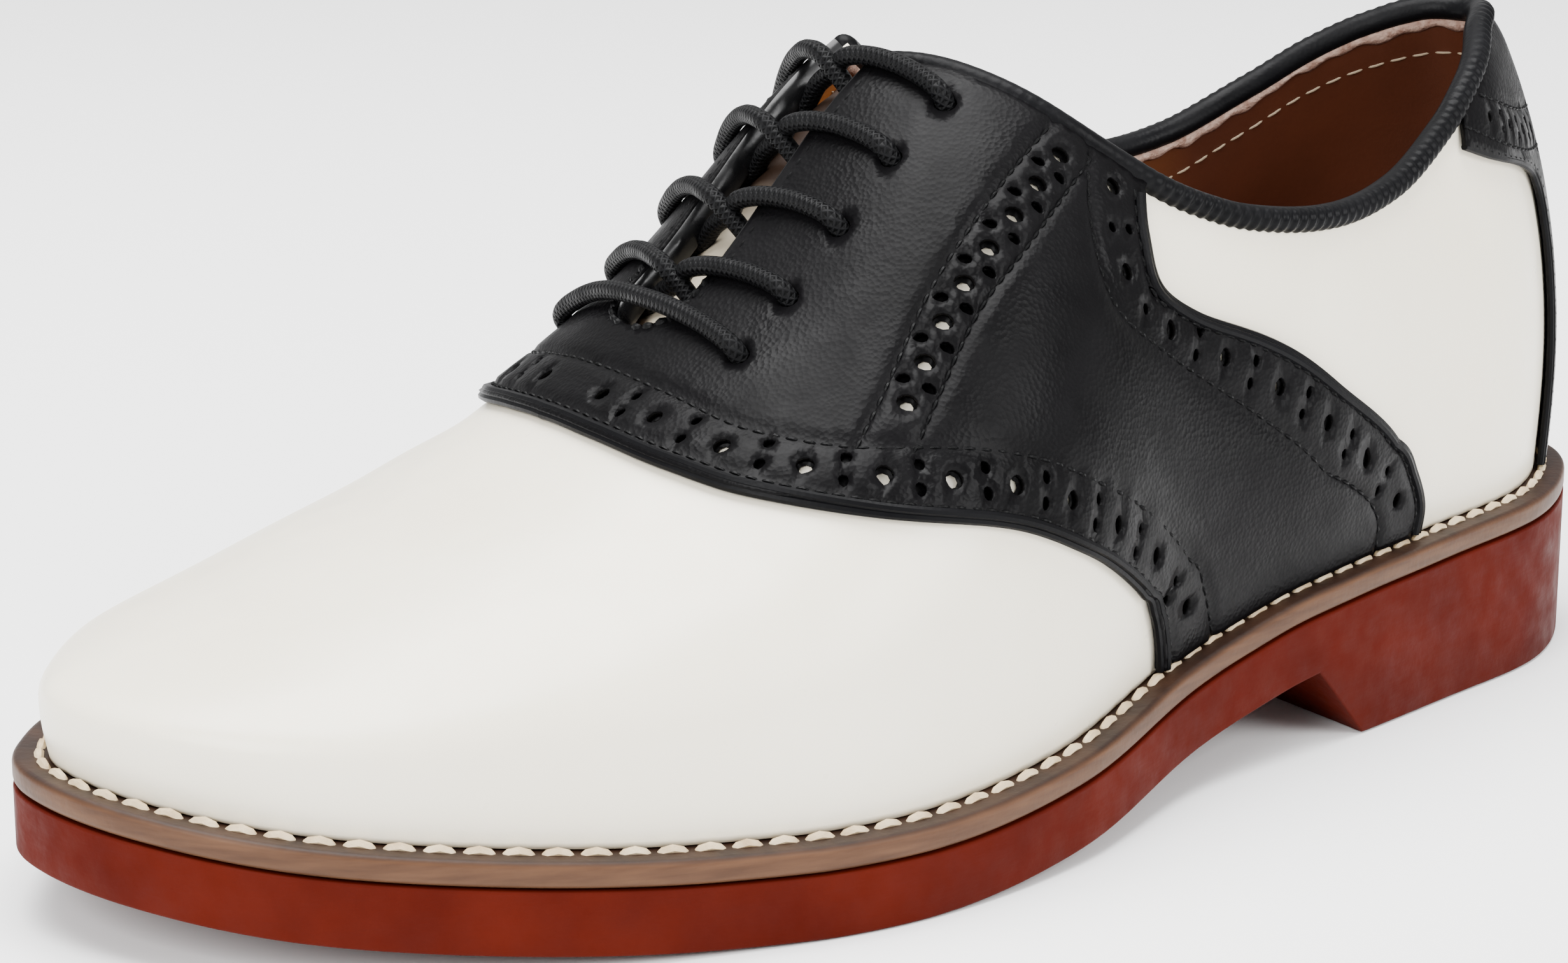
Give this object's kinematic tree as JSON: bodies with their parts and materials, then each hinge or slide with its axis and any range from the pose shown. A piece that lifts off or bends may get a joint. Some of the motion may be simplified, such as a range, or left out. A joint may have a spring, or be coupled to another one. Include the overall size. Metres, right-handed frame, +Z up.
{
  "type": "saddle shoe",
  "caption": "Left lace-up saddle shoe, white leather with a black perforated saddle, black laces and a red rubber sole.",
  "frame": {"origin": "on the floor, under the middle of the shoe's box", "axes": "toe towards -X, heel towards +X, the shoe's outer side towards -Y, +Z up"},
  "size_m": [0.305, 0.1246, 0.1193],
  "materials": {
    "white_leather": "smooth semi-gloss",
    "black_leather": "semi-gloss, fine grain",
    "lining_leather": "matte",
    "lace_cord": "waxed round braid",
    "midsole_brown": "dyed edge",
    "sole_rubber": "matte"
  },
  "bodies": {
    "root": {"outsole": "sole_rubber", "midsole": "midsole_brown", "insole": "lining_leather", "upper": "white_leather", "saddle": "black_leather", "backstay": "black_leather", "collar_binding": "black_leather", "tongue": "white_leather", "lace_bar_1": "lace_cord", "lace_cross_2": "lace_cord", "lace_cross_3": "lace_cord", "lace_cross_4": "lace_cord", "lace_cross_5": "lace_cord"}
  },
  "joints": []
}
